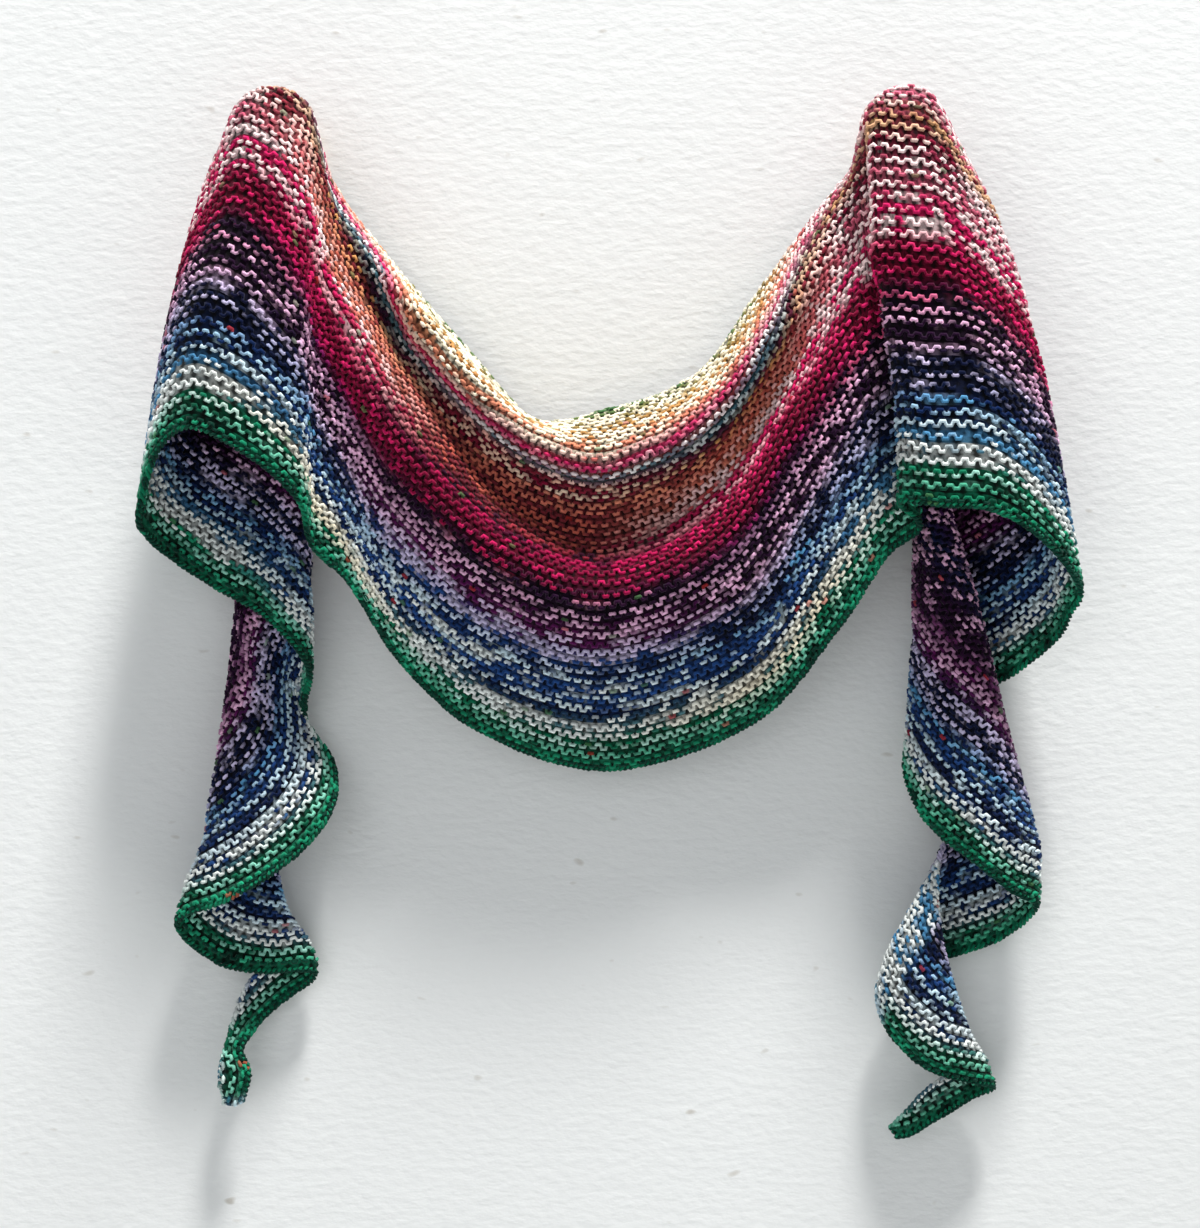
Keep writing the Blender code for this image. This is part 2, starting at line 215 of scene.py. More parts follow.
class Dye(Enum):
    """The colours of the yarn, as the eye sees them, from 0 to 255 in red, green and blue."""

    PINE = (4, 62, 48)
    EMERALD = (10, 118, 84)
    JADE = (34, 164, 122)
    MINT = (150, 214, 196)
    CHALK = (240, 246, 244)
    ICE = (196, 222, 236)
    SKY = (84, 150, 196)
    COBALT = (38, 80, 146)
    NAVY = (8, 36, 84)
    INK = (10, 22, 58)
    LAVENDER = (202, 192, 226)
    PLUM = (92, 20, 84)
    AUBERGINE = (40, 8, 44)
    ORCHID = (232, 180, 214)
    CRIMSON = (140, 4, 56)
    MAGENTA = (214, 28, 100)
    ROSE = (228, 112, 140)
    SHELL = (252, 226, 226)
    SALMON = (236, 146, 120)
    TERRACOTTA = (204, 100, 84)
    BRICK = (134, 46, 56)
    TAN = (206, 150, 88)
    CREAM = (250, 240, 214)
    TEAL = (84, 130, 140)
    MOSS = (76, 120, 72)
    RUST = (176, 44, 36)

    def linear(self) -> tuple[float, float, float, float]:
        """The colour as light, for a shader."""
        shares = [level / 255 for level in self.value]
        light = [share / 12.92 if share <= 0.04045 else ((share + 0.055) / 1.055) ** 2.4 for share in shares]
        return (light[0], light[1], light[2], 1.0)


class Band(NamedTuple):
    """The yarn at one depth from the hem: its strong and pale colours, and how much of it is pale."""

    depth: float
    strong: Dye
    pale: Dye
    share: float


# The bands of the swag's middle, from the hem to the neck edge
SWAG_BANDS = (
    Band(0, Dye.PINE, Dye.EMERALD, 0.5),
    Band(5, Dye.PINE, Dye.JADE, 0.5),
    Band(11, Dye.EMERALD, Dye.MINT, 0.4),
    Band(15, Dye.EMERALD, Dye.CHALK, 0.5),
    Band(22, Dye.TEAL, Dye.CHALK, 0.65),
    Band(29, Dye.NAVY, Dye.CHALK, 0.5),
    Band(36, Dye.COBALT, Dye.ICE, 0.35),
    Band(43, Dye.COBALT, Dye.CHALK, 0.6),
    Band(50, Dye.NAVY, Dye.ICE, 0.5),
    Band(58, Dye.COBALT, Dye.LAVENDER, 0.5),
    Band(66, Dye.PLUM, Dye.LAVENDER, 0.5),
    Band(74, Dye.PLUM, Dye.ORCHID, 0.45),
    Band(83, Dye.AUBERGINE, Dye.ORCHID, 0.35),
    Band(92, Dye.AUBERGINE, Dye.CRIMSON, 0.45),
    Band(103, Dye.CRIMSON, Dye.MAGENTA, 0.4),
    Band(113, Dye.AUBERGINE, Dye.CRIMSON, 0.55),
    Band(121, Dye.BRICK, Dye.TERRACOTTA, 0.5),
    Band(136, Dye.BRICK, Dye.TERRACOTTA, 0.55),
    Band(146, Dye.BRICK, Dye.SALMON, 0.5),
    Band(152, Dye.CRIMSON, Dye.CREAM, 0.5),
    Band(158, Dye.BRICK, Dye.SALMON, 0.4),
    Band(164, Dye.TEAL, Dye.CHALK, 0.75),
    Band(171, Dye.MAGENTA, Dye.ROSE, 0.4),
    Band(178, Dye.SALMON, Dye.CREAM, 0.7),
    Band(192, Dye.TAN, Dye.CREAM, 0.65),
    Band(225, Dye.MOSS, Dye.CREAM, 0.75),
)

# The bands of the swag's two arms, where it climbs to the pegs
ARM_BANDS = (
    Band(0, Dye.PINE, Dye.EMERALD, 0.5),
    Band(5, Dye.PINE, Dye.JADE, 0.5),
    Band(11, Dye.EMERALD, Dye.MINT, 0.4),
    Band(15, Dye.EMERALD, Dye.CREAM, 0.5),
    Band(20, Dye.TEAL, Dye.CREAM, 0.6),
    Band(29, Dye.NAVY, Dye.CHALK, 0.55),
    Band(38, Dye.COBALT, Dye.ICE, 0.4),
    Band(48, Dye.INK, Dye.SKY, 0.4),
    Band(57, Dye.INK, Dye.LAVENDER, 0.4),
    Band(67, Dye.AUBERGINE, Dye.ORCHID, 0.45),
    Band(78, Dye.AUBERGINE, Dye.ORCHID, 0.3),
    Band(88, Dye.AUBERGINE, Dye.PLUM, 0.5),
    Band(97, Dye.CRIMSON, Dye.MAGENTA, 0.35),
    Band(110, Dye.CRIMSON, Dye.MAGENTA, 0.6),
    Band(120, Dye.MAGENTA, Dye.SHELL, 0.5),
    Band(130, Dye.SALMON, Dye.SHELL, 0.55),
    Band(141, Dye.TERRACOTTA, Dye.SALMON, 0.45),
    Band(151, Dye.BRICK, Dye.TAN, 0.4),
    Band(158, Dye.INK, Dye.TEAL, 0.5),
    Band(164, Dye.TEAL, Dye.CHALK, 0.6),
    Band(172, Dye.MAGENTA, Dye.ROSE, 0.5),
    Band(181, Dye.SALMON, Dye.CREAM, 0.5),
    Band(195, Dye.TAN, Dye.CREAM, 0.6),
    Band(222, Dye.MOSS, Dye.CREAM, 0.65),
)

# The bands of the two cones. Their pink-white near the neck, over the peg tops, is partly the yarn's own
# colour and partly a painted highlight where the top light washes the domes out.
CONE_BANDS = (
    Band(0, Dye.PINE, Dye.EMERALD, 0.5),
    Band(5, Dye.PINE, Dye.JADE, 0.5),
    Band(11, Dye.EMERALD, Dye.MINT, 0.45),
    Band(15, Dye.JADE, Dye.CHALK, 0.55),
    Band(19, Dye.TEAL, Dye.CHALK, 0.7),
    Band(27, Dye.SKY, Dye.CHALK, 0.55),
    Band(34, Dye.NAVY, Dye.ICE, 0.5),
    Band(42, Dye.NAVY, Dye.SKY, 0.5),
    Band(48, Dye.INK, Dye.LAVENDER, 0.55),
    Band(57, Dye.INK, Dye.LAVENDER, 0.4),
    Band(66, Dye.AUBERGINE, Dye.ORCHID, 0.35),
    Band(76, Dye.AUBERGINE, Dye.ORCHID, 0.25),
    Band(86, Dye.AUBERGINE, Dye.MAGENTA, 0.3),
    Band(94, Dye.CRIMSON, Dye.MAGENTA, 0.4),
    Band(104, Dye.CRIMSON, Dye.MAGENTA, 0.6),
    Band(111, Dye.MAGENTA, Dye.SHELL, 0.5),
    Band(121, Dye.MAGENTA, Dye.SHELL, 0.55),
    Band(133, Dye.ROSE, Dye.SHELL, 0.55),
    Band(146, Dye.CRIMSON, Dye.SHELL, 0.5),
    Band(158, Dye.BRICK, Dye.TAN, 0.6),
    Band(168, Dye.ROSE, Dye.SHELL, 0.55),
    Band(190, Dye.CRIMSON, Dye.SHELL, 0.5),
)

# The bands of the two tails
TAIL_BANDS = (
    Band(0, Dye.PINE, Dye.EMERALD, 0.45),
    Band(4, Dye.PINE, Dye.JADE, 0.5),
    Band(10, Dye.EMERALD, Dye.MINT, 0.4),
    Band(14, Dye.TEAL, Dye.CHALK, 0.6),
    Band(19, Dye.COBALT, Dye.CHALK, 0.6),
    Band(27, Dye.INK, Dye.ICE, 0.55),
    Band(35, Dye.COBALT, Dye.ICE, 0.45),
    Band(43, Dye.NAVY, Dye.SKY, 0.5),
    Band(52, Dye.INK, Dye.LAVENDER, 0.5),
    Band(63, Dye.INK, Dye.LAVENDER, 0.4),
    Band(74, Dye.PLUM, Dye.ORCHID, 0.45),
    Band(88, Dye.AUBERGINE, Dye.PLUM, 0.5),
    Band(104, Dye.AUBERGINE, Dye.ORCHID, 0.3),
    Band(130, Dye.INK, Dye.ORCHID, 0.3),
    Band(190, Dye.PLUM, Dye.ORCHID, 0.3),
)

# The last few stitches before the tips, where a paler length of yarn runs out
TIP_BANDS = (
    Band(0, Dye.TEAL, Dye.ICE, 0.6),
    Band(8, Dye.SKY, Dye.CHALK, 0.7),
)


class Region(NamedTuple):
    """Bands of yarn that take over from the ones before at a distance from the stripes' own middle, in mm."""

    bands: tuple[Band, ...]
    start: float
    end: float

    def taken(self, reach: "Wire") -> "Wire":
        """How far these bands have taken over at a distance, from 0 to 1."""
        return ((reach - self.start) / (self.end - self.start)).within()


STRIPES_MIDDLE = -25.0
REGIONS = (
    Region(SWAG_BANDS, 0, 1),
    Region(ARM_BANDS, 45, 120),
    Region(CONE_BANDS, 165, 235),
    Region(TAIL_BANDS, 380, 430),
    Region(TIP_BANDS, 815, 822),
    Region(TAIL_BANDS, 850, 857),
)
FULL_DEPTH = 250.0


def smooth_through(points: np.ndarray, places: np.ndarray) -> np.ndarray:
    """Smooth curves through points, read at places counted in points.

    Args:
        points: The points, the first axis running along the curves.
        places: Where to read them, from 0 to the last point.

    Returns:
        The points of the curves at those places.
    """
    run_on = (2 * points[:1] - points[1:2], points, 2 * points[-1:] - points[-2:-1])
    padded = np.concatenate(run_on)
    start = np.clip(places.astype(int), 0, len(points) - 2)
    step = (places - start).reshape(-1, *[1] * (points.ndim - 1))
    before, here, there, after = (padded[start + turn] for turn in range(4))
    return 0.5 * (
        2 * here
        + (there - before) * step
        + (2 * before - 5 * here + 4 * there - after) * step**2
        + (3 * here - before - 3 * there + after) * step**3
    )


def unit(vectors: np.ndarray) -> np.ndarray:
    """The same vectors, each one long."""
    return vectors / np.maximum(np.linalg.norm(vectors, axis=-1, keepdims=True), LEAST_LENGTH)


def eased(share: np.ndarray) -> np.ndarray:
    """A share from 0 to 1 that starts and ends gently."""
    kept = np.clip(share, 0, 1)
    return kept * kept * (3 - 2 * kept)


@dataclass
class Cloth:
    """The cloth's middle surface, read at many places, in mm.

    Every array has a row for each line across the shawl and a column for each place from neck edge to hem.
    Give is how much longer the hanging cloth is there than it was knitted, and depth is measured as knitted.
    """

    places: np.ndarray
    normals: np.ndarray
    depth: np.ndarray
    run: np.ndarray
    give: np.ndarray


@dataclass
class ShawlForm:
    """How the shawl hangs: the lines across it, the pegs under it and its creases."""

    peg_spacing: float = 305.0
    lap_radius: float = 21.1
    nape_radius: float = 17.1
    nape_out: float = 14.0
    stations: int = 6
    columns: int = 1401
    rows: int = 103
    creases: tuple[Crease, ...] = CREASES
    give: float = 0.16
    give_runs: tuple[float, float, float, float] = (120.0, 230.0, 330.0, 420.0)

    def over_peg(self, line: OverPeg, peg_x: float) -> list[Place]:
        """The places of a line that lies over the peg at peg_x before it falls."""
        turn = math.radians(line.around)
        places = []
        for radius, out in (
            (self.nape_radius, self.nape_out),
            (self.lap_radius, (self.nape_out + line.over) / 2),
            (self.lap_radius, line.over),
        ):
            places.append((peg_x + radius * math.cos(turn), out, -radius * math.sin(turn)))
        return [*places, line.ridge, line.skirt, line.hem]

    def across_twist(self, line: Twist) -> np.ndarray:
        """The places of a line across a tail, spread evenly along its smooth curve."""
        given = np.array(line, dtype=float)
        return smooth_through(given, np.linspace(0, len(given) - 1, self.stations))

    def lines(self) -> np.ndarray:
        """Every line across the shawl, from the left tip to the right one, as points in mm."""
        half = self.peg_spacing / 2
        found: list[Any] = [self.across_twist(line) for line in reversed(LEFT_TAIL)]
        found += [self.over_peg(line, -half) for line in reversed(LEFT_CONE)]
        found += list(SWAG)
        found += [self.over_peg(line, half) for line in RIGHT_CONE]
        found += [self.across_twist(line) for line in RIGHT_TAIL]
        return np.array([np.array(line, dtype=float) for line in found]) * (1, -1, -1)

    def middle_line(self) -> float:
        """The number of the line in the middle of the swag."""
        return len(LEFT_TAIL) + len(LEFT_CONE) + (len(SWAG) - 1) / 2

    def cloth(self) -> Cloth:
        """The middle surface with its creases.

        Returns:
            The surface, its normals towards the wall in the swag, and each place's depth and run.
        """
        lines = self.lines()
        along = np.linspace(0, len(lines) - 1, self.columns)
        across = np.linspace(0, self.stations - 1, self.rows)
        stations = np.swapaxes(smooth_through(lines, along), 0, 1)
        places = np.swapaxes(smooth_through(stations, across), 0, 1)
        depth = self.depth_of(places)
        strides = np.linalg.norm(np.diff(places[:, self.rows // 2], axis=0), axis=1)
        run = np.concatenate(([0.0], np.cumsum(strides)))
        run -= np.interp(self.middle_line(), along, run)
        normals = self.normals_of(places)
        for crease in self.creases:
            places = places - normals * self.rise(crease, run, depth)[..., None]
        starts, full, eases, ends = self.give_runs
        reach = np.abs(run)
        taken_up = eased((reach - starts) / (full - starts))
        let_go = eased((ends - reach) / (ends - eases))
        give = 1 + self.give * taken_up * let_go
        return Cloth(places, self.normals_of(places), self.depth_of(places) / give[:, None], run, give)

    @staticmethod
    def depth_of(places: np.ndarray) -> np.ndarray:
        """How far each place lies in from the hem, along its own line."""
        steps = np.linalg.norm(np.diff(places, axis=1), axis=2)
        inward = np.cumsum(steps[:, ::-1], axis=1)[:, ::-1]
        return np.concatenate((inward, np.zeros((len(places), 1))), axis=1)

    @staticmethod
    def normals_of(places: np.ndarray) -> np.ndarray:
        """The unit normals of the surface."""
        return unit(np.cross(np.gradient(places, axis=0), np.gradient(places, axis=1)))

    @staticmethod
    def rise(crease: Crease, run: np.ndarray, depth: np.ndarray) -> np.ndarray:
        """How far one crease lifts each place of the cloth, in mm."""
        start = np.array(crease.start)
        way = np.array(crease.end) - start
        length = np.linalg.norm(way)
        beside = np.stack(np.broadcast_arrays(run[:, None], depth), axis=-1) - start
        share = beside @ way / length**2
        nearest = np.clip(share, 0, 1)[..., None] * way
        off = np.linalg.norm(beside - nearest, axis=-1) / crease.width
        return crease.height * np.exp(-off * off)


@dataclass
class Rows:
    """The yarn's way along many rows of stitches, a few points for each stitch."""

    places: list[np.ndarray] = field(default_factory=list)
    outward: list[np.ndarray] = field(default_factory=list)
    upward: list[np.ndarray] = field(default_factory=list)
    forward: list[np.ndarray] = field(default_factory=list)
    stitch: list[np.ndarray] = field(default_factory=list)
    depth: list[np.ndarray] = field(default_factory=list)
    run: list[np.ndarray] = field(default_factory=list)

    def add(self, other: "Rows") -> None:
        """Takes over the rows of another bundle."""
        for kind in fields(self):
            getattr(self, kind.name).extend(getattr(other, kind.name))


# What the points of the rows carry as vectors and as numbers
ROW_WAYS = ("outward", "upward", "forward")
ROW_NUMBERS = ("stitch", "depth", "run")


@dataclass
class RowLayer:
    """Lays the rows of stitches on one side of the cloth, parallel to the hem."""

    cloth: Cloth
    ridge: float = RIDGE_HEIGHT
    stitch: float = 5.1
    points: int = 6
    face_start: float = 2.6
    reverse_start: float = 5.0
    shortest: int = 2

    def rows_on(self, side: Side) -> Rows:
        """Every row on one side of the cloth.

        Args:
            side: The side that the rows lie on.

        Returns:
            The rows, from the hem inwards.
        """
        start = self.face_start if side is Side.FACE else self.reverse_start
        depths = np.arange(start, self.cloth.depth.max(), self.ridge)
        count = len(self.cloth.run)
        places = np.zeros((len(depths), count, 3))
        normals = np.zeros((len(depths), count, 3))
        for column in range(count):
            inward = self.cloth.depth[column, ::-1]
            for axis in range(3):
                places[:, column, axis] = np.interp(depths, inward, self.cloth.places[column, ::-1, axis])
                normals[:, column, axis] = np.interp(depths, inward, self.cloth.normals[column, ::-1, axis])
        there = depths[:, None] < self.cloth.depth[None, :, 0]
        found = Rows()
        for number, depth in enumerate(depths):
            for first, last in self.stretches(there[number]):
                line = places[number, first:last]
                found.add(self.row(line, normals[number, first:last], first, depth, side))
        return found

    def edge(self, column: int, side: Side, turn: float) -> Rows:
        """One strand along an edge of the cloth, starting a share of a stitch later.

        Args:
            column: The cloth's column that is the edge, 0 at the neck and -1 at the hem.
            side: The side that the strand's outward way points to.
            turn: The share of a stitch by which the strand is turned.

        Returns:
            The strand as a single row.
        """
        places = self.cloth.places[:, column]
        strand = self.row(places, self.cloth.normals[:, column], 0, 0.0, side)
        strand.stitch[0] = strand.stitch[0] + turn
        columns = np.interp(strand.run[0], self.cloth.run, np.arange(len(self.cloth.run)))
        strand.depth[0] = np.interp(columns, np.arange(len(places)), self.cloth.depth[:, column])
        return strand

    @staticmethod
    def stretches(there: np.ndarray) -> list[tuple[int, int]]:
        """The first column and the one past the last of each unbroken stretch."""
        marks = np.diff(np.concatenate(([0], there.astype(int), [0])))
        return list(zip(np.flatnonzero(marks == 1), np.flatnonzero(marks == -1)))

    def row(self, places: np.ndarray, normals: np.ndarray, first: int, depth: float, side: Side) -> Rows:
        """The yarn's points along one row.

        Args:
            places: The row's places, one for each column of the cloth.
            normals: The cloth's normals there.
            first: The cloth's column that the row starts in.
            depth: How far the row lies in from the hem, in mm.
            side: The side that the row lies on.

        Returns:
            One row, or none if it is shorter than a few stitches.
        """
        span = slice(first, first + len(places))
        give = self.cloth.give[span][1:]
        way = np.concatenate(([0.0], np.cumsum(np.linalg.norm(np.diff(places, axis=0), axis=1) / give)))
        stitches = round(way[-1] / self.stitch)
        if stitches < self.shortest:
            return Rows()
        at = np.linspace(0, way[-1], stitches * self.points + 1)
        line = np.stack([np.interp(at, way, places[:, axis]) for axis in range(3)], axis=1)
        normal = unit(np.stack([np.interp(at, way, normals[:, axis]) for axis in range(3)], axis=1))
        forward = unit(np.gradient(line, axis=0))
        run = np.interp(at, way, self.cloth.run[span])
        row = Rows()
        row.places.append(line)
        row.outward.append(normal * side.value)
        row.upward.append(unit(np.cross(-normal, forward)))
        row.forward.append(forward)
        row.stitch.append(np.arange(len(at)) / self.points)
        row.depth.append(np.full(len(at), depth))
        row.run.append(run)
        return row


class Wire:
    """One node's output. Arithmetic on it adds Math nodes to its tree."""

    def __init__(self, sheet: "NodeSheet", output: bpy.types.NodeSocket) -> None:
        """Keeps the output and the tree that it is in."""
        self.sheet = sheet
        self.output = output

    def math(self, operation: str, *values: Any) -> "Wire":
        """The result of one Math node on these values."""
        sockets = dict(enumerate(values))
        return self.sheet.wire("ShaderNodeMath", {"operation": operation}, sockets)

    def __add__(self, other: Any) -> "Wire":
        """The sum."""
        return self.math("ADD", self, other)

    def __radd__(self, other: Any) -> "Wire":
        """The sum, with the number first."""
        return self.math("ADD", other, self)

    def __sub__(self, other: Any) -> "Wire":
        """The difference."""
        return self.math("SUBTRACT", self, other)

    def __rsub__(self, other: Any) -> "Wire":
        """The difference, with the number first."""
        return self.math("SUBTRACT", other, self)

    def __mul__(self, other: Any) -> "Wire":
        """The product."""
        return self.math("MULTIPLY", self, other)

    def __truediv__(self, other: Any) -> "Wire":
        """The quotient."""
        return self.math("DIVIDE", self, other)

    def __gt__(self, other: Any) -> "Wire":
        """One where it is greater, and zero elsewhere."""
        return self.math("GREATER_THAN", self, other)

    def floor(self) -> "Wire":
        """The whole number below."""
        return self.math("FLOOR", self)

    def sine(self) -> "Wire":
        """The sine."""
        return self.math("SINE", self)

    def cosine(self) -> "Wire":
        """The cosine."""
        return self.math("COSINE", self)

    def size(self) -> "Wire":
        """The value without its sign."""
        return self.math("ABSOLUTE", self)

    def within(self) -> "Wire":
        """The value kept from 0 to 1."""
        return self.sheet.wire("ShaderNodeClamp", {}, {"Value": self})


class NodeSheet:
    """A node tree that is written in a few calls."""

    def __init__(self, tree: bpy.types.NodeTree) -> None:
        """Keeps the tree."""
        self.tree = tree

    def node(self, kind: str, settings: dict[str, Any], sockets: dict[Any, Any]) -> bpy.types.Node:
        """Adds a node.

        Args:
            kind: The node's type.
            settings: Its settings, with a ramp's stops as (place, colour) pairs.
            sockets: The values or wires of its inputs, by name or number.

        Returns:
            The node.
        """
        node = self.tree.nodes.new(kind)
        for name, value in settings.items():
            if name == "stops":
                self.set_stops(node.color_ramp, value)
            else:
                setattr(node, name, value)
        for name, value in sockets.items():
            if isinstance(value, Wire):
                self.tree.links.new(value.output, node.inputs[name])
            else:
                node.inputs[name].default_value = value
        return node

    def wire(self, kind: str, settings: dict[str, Any], sockets: dict[Any, Any], output: Any = 0) -> Wire:
        """Adds a node and gives one of its outputs."""
        return Wire(self, self.node(kind, settings, sockets).outputs[output])

    @staticmethod
    def set_stops(ramp: bpy.types.ColorRamp, stops: list[tuple[float, Any]]) -> None:
        """Gives a ramp its stops."""
        while len(ramp.elements) < len(stops):
            ramp.elements.new(1.0)
        for element, (place, colour) in zip(ramp.elements, stops):
            element.position = place
            element.color = colour

    def attribute(self, name: str) -> Wire:
        """A number that the mesh carries, in a shader."""
        return self.wire("ShaderNodeAttribute", {"attribute_name": name}, {}, "Fac")

    def combine(self, x: Any, y: Any, z: Any) -> Wire:
        """A vector of three numbers."""
        return self.wire("ShaderNodeCombineXYZ", {}, {"X": x, "Y": y, "Z": z})

    def mix(self, share: Any, first: Any, second: Any, blend: str = "MIX") -> Wire:
        """Two colours mixed."""
        settings = {"data_type": "RGBA", "blend_type": blend}
        return self.wire("ShaderNodeMix", settings, {0: share, 6: first, 7: second}, 2)

    def noise(self, vector: Any, scale: float, detail: float, roughness: float = 0.5) -> Wire:
        """A soft noise."""
        sockets = {"Vector": vector, "Scale": scale, "Detail": detail, "Roughness": roughness}
        return self.wire("ShaderNodeTexNoise", {}, sockets, "Fac")

    def scatter(self, vector: Any) -> Wire:
        """A chance number for each whole vector."""
        return self.wire("ShaderNodeTexWhiteNoise", {}, {"Vector": vector}, "Value")

    def ramp(self, place: Wire, stops: list[tuple[float, Any]], output: str = "Color") -> Wire:
        """A colour, or with output Alpha a number, read off a ramp."""
        return self.wire("ShaderNodeValToRGB", {"stops": stops}, {0: place}, output)

    def scaled(self, vector: Any, share: Any) -> Wire:
        """A vector made longer or shorter."""
        return self.wire("ShaderNodeVectorMath", {"operation": "SCALE"}, {"Vector": vector, "Scale": share})

    def vector_sum(self, first: Any, second: Any) -> Wire:
        """Two vectors added."""
        return self.wire("ShaderNodeVectorMath", {"operation": "ADD"}, {0: first, 1: second})


def new_surface(name: str) -> tuple[bpy.types.Material, NodeSheet, bpy.types.Node]:
    """A new material, its nodes and its surface shader."""
    material = bpy.data.materials.new(name)
    material.use_nodes = True
    sheet = NodeSheet(material.node_tree)
    return material, sheet, material.node_tree.nodes["Principled BSDF"]


def connect(sheet: NodeSheet, surface: bpy.types.Node, **wires: Wire) -> None:
    """Leads wires to a surface shader's inputs, which are named with _ for a space."""
    for name, wire in wires.items():
        sheet.tree.links.new(wire.output, surface.inputs[name.replace("_", " ")])


class Chance(Enum):
    """The places in the noise that keep one chance draw apart from another."""

    MOSS = 2.0
    WANDER = 4.0
    STITCH = 5.0
    FLECK = 9.0
    ROW = 11.0


@dataclass(frozen=True)
class YarnFinish:
    """Hand-dyed wool, its colours in bands along the rows, with stitches that take them up unevenly. A darker
    copy carries painted shade for the ground between the ridges, with painted light and shade on the stitches'
    legs.
    """

    name: str
    shade: float = 1.0
    legs: bool = False
    paleness: float = 0.0
    ridge: float = RIDGE_HEIGHT
    drift: float = 12.0
    drift_scale: float = 0.012
    patch_scale: float = 0.05
    patch_contrast: float = 3.2
    row_contrast: float = 0.7
    stitch_contrast: float = 0.7
    softness: float = 0.22
    fleck_share: float = 0.009
    fleck_cover: float = 0.7
    roughness: float = 0.9
    sheen: float = 0.06
    specular: float = 0.12
    least_light: float = 0.7
    stitch_light: float = 0.35
    fibre_light: float = 0.6
    fibre_scale: float = 1400.0
    fibre_depth: float = 0.0004
    fibre_strength: float = 0.7
    strand_stride: float = 3.7
    leg_lean: float = 1.2
    leg_gap: float = 1.2
    leg_contrast: float = 0.6
    leg_level: float = 0.3
    gap_light: float = 0.12

    def material(self) -> bpy.types.Material:
        """The finished material."""
        material, sheet, surface = new_surface(self.name)
        depth = sheet.attribute("depth")
        run = sheet.attribute("run")
        count = sheet.attribute("stitch")
        stitch = count.floor()
        upper = (count - stitch) > 0.5
        row = (depth / self.ridge).floor()
        strand = row * 2.0 + upper
        wander = sheet.noise(sheet.combine(run * self.drift_scale, 0.0, Chance.WANDER.value), 1.0, 1.0)
        place = ((depth + (wander - 0.5) * self.drift) / FULL_DEPTH).within()
        patches = sheet.combine(run * self.patch_scale, strand * self.strand_stride, 0.0)
        patch = sheet.noise(patches, 1.0, 2.0, 0.6)
        row_chance = sheet.scatter(sheet.combine(strand, Chance.ROW.value, 0.0))
        stitch_chance = sheet.scatter(sheet.combine(strand, stitch, Chance.STITCH.value))
        level = (patch - 0.5) * self.patch_contrast + 0.5
        level = level + (row_chance - 0.5) * self.row_contrast
        level = level + (stitch_chance - 0.5) * self.stitch_contrast
        reach = (run - STRIPES_MIDDLE).size()
        share = self.share(sheet, place, reach) + self.paleness
        pale_part = ((level + share - 1.0) / self.softness + 0.5).within()
        strong = self.colour(sheet, place, reach, "strong")
        pale = self.colour(sheet, place, reach, "pale")
        colour = sheet.mix(pale_part, strong, pale)
        fleck_chance = sheet.scatter(sheet.combine(strand, stitch, Chance.FLECK.value))
        moss_chance = sheet.scatter(sheet.combine(row, stitch, Chance.MOSS.value))
        fleck = sheet.mix(moss_chance > 0.5, Dye.RUST.linear(), Dye.MOSS.linear())
        colour = sheet.mix((fleck_chance > 1.0 - self.fleck_share) * self.fleck_cover, colour, fleck)
        objects = sheet.wire("ShaderNodeTexCoord", {}, {}, "Object")
        fibre = sheet.noise(objects, self.fibre_scale, 3.0, 0.65)
        light = self.least_light + stitch_chance * self.stitch_light + (fibre - 0.5) * self.fibre_light
        # Painted shade: a level below 1 darkens the ground copy, for the shade between the ridges.
        light = light * self.shade
        # Painted light on the stitches' legs and painted shade between them, for the ground copy.
        if self.legs:
            light = light * self.leg_light(run, depth)
        colour = sheet.mix(1.0, colour, sheet.combine(light, light, light), "MULTIPLY")
        sockets = {"Strength": self.fibre_strength, "Distance": self.fibre_depth, "Height": fibre}
        bump = sheet.wire("ShaderNodeBump", {}, sockets)
        connect(sheet, surface, Base_Color=colour, Normal=bump)
        surface.inputs["Roughness"].default_value = self.roughness
        surface.inputs["Sheen Weight"].default_value = self.sheen
        surface.inputs["Specular IOR Level"].default_value = self.specular
        return material

    def leg_light(self, run: Wire, depth: Wire) -> Wire:
        """The legs of the stitches, which lean together, drawn as painted light on each leg and painted shade
        between them.
        """
        turns = run * (math.tau / self.ridge)
        lean = ((depth / self.ridge) * math.tau).sine() * self.leg_lean
        first = (turns + lean).cosine()
        second = (turns - lean + self.leg_gap).cosine()
        nearer = first.math("MAXIMUM", first, second)
        return (nearer * self.leg_contrast + self.leg_level).within() + self.gap_light

    @staticmethod
    def colour(sheet: NodeSheet, place: Wire, reach: Wire, part: str) -> Wire:
        """The strong or the pale colour at a depth and a distance from the swag's middle."""
        found = None
        for region in REGIONS:
            stops = [(band.depth / FULL_DEPTH, getattr(band, part).linear()) for band in region.bands]
            there = sheet.ramp(place, stops)
            found = sheet.mix(region.taken(reach), found, there) if found else there
        return found

    @staticmethod
    def share(sheet: NodeSheet, place: Wire, reach: Wire) -> Wire:
        """How much of the yarn is pale at a depth and a distance from the swag's middle."""
        found = None
        for region in REGIONS:
            stops = [(band.depth / FULL_DEPTH, (0.0, 0.0, 0.0, band.share)) for band in region.bands]
            there = sheet.ramp(place, stops, "Alpha")
            found = found + (there - found) * region.taken(reach) if found else there
        return found


